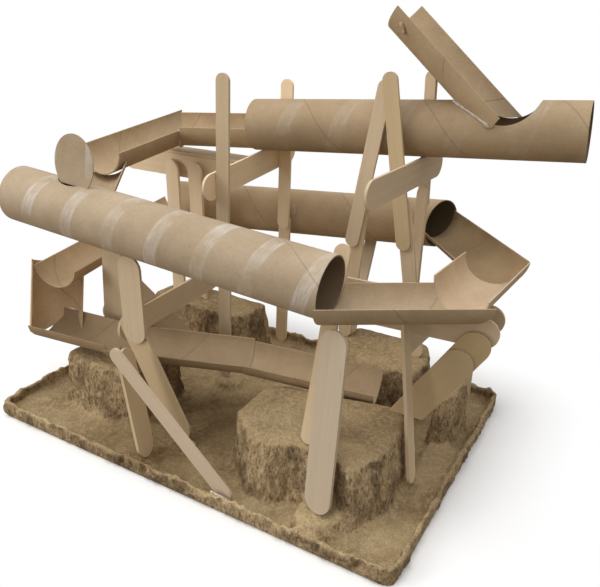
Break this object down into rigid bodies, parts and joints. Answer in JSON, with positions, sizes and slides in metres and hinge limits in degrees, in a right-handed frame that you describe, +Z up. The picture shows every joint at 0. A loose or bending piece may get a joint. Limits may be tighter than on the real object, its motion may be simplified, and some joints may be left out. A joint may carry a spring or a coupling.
{
  "type": "cardboard tube marble run",
  "caption": "Home-made marble run of cardboard roll cores and split-core troughs on a scaffold of wooden craft sticks, standing on a moulded pulp tray.",
  "frame": {"origin": "middle of the tray's plan on the ground, where the tray's underside rests", "axes": "+X runs along the tray's long front edge to the viewer's right, +Y points to the back, +Z is up"},
  "size_m": [0.3547, 0.2545, 0.2701],
  "materials": {
    "kraft_card": "matt kraft board with spiral seams",
    "birch_wood": "plain unvarnished birch",
    "moulded_pulp": "rough moulded paper pulp"
  },
  "bodies": {
    "root": {"pulp_tray": "moulded_pulp", "top_tube": "kraft_card", "feed_chute": "kraft_card", "upper_trough": "kraft_card", "side_trough": "kraft_card", "drop_chute": "kraft_card", "front_tube": "kraft_card", "long_trough": "kraft_card", "corner_trough": "kraft_card", "right_trough": "kraft_card", "back_tube": "kraft_card", "left_trough": "kraft_card", "steep_chute": "kraft_card", "lower_trough": "kraft_card", "middle_trough": "kraft_card", "end_trough": "kraft_card", "left_post_upper": "birch_wood", "left_post_lower": "birch_wood", "rear_post_upper": "birch_wood", "rear_post_lower": "birch_wood", "left_cross_stick": "birch_wood", "side_rail": "birch_wood", "side_shelf": "birch_wood", "short_post_left": "birch_wood", "short_post_right": "birch_wood", "leaning_post": "birch_wood", "block_rail": "birch_wood", "low_cross_stick": "birch_wood", "floor_brace": "birch_wood", "front_tube_post": "birch_wood", "inner_brace": "birch_wood", "rim_post": "birch_wood", "front_brace": "birch_wood", "front_post": "birch_wood", "front_tube_prop": "birch_wood", "frame_left_upper": "birch_wood", "frame_left_lower": "birch_wood", "frame_right_upper": "birch_wood", "frame_right_lower": "birch_wood", "frame_back_upper": "birch_wood", "frame_back_lower": "birch_wood", "right_cross_stick": "birch_wood", "back_tube_prop": "birch_wood", "right_post": "birch_wood", "bearer_stick": "birch_wood", "bearer_front": "birch_wood", "bearer_rear": "birch_wood", "block_brace": "birch_wood", "block_brace_cover": "birch_wood", "right_trough_post": "birch_wood"}
  },
  "joints": []
}
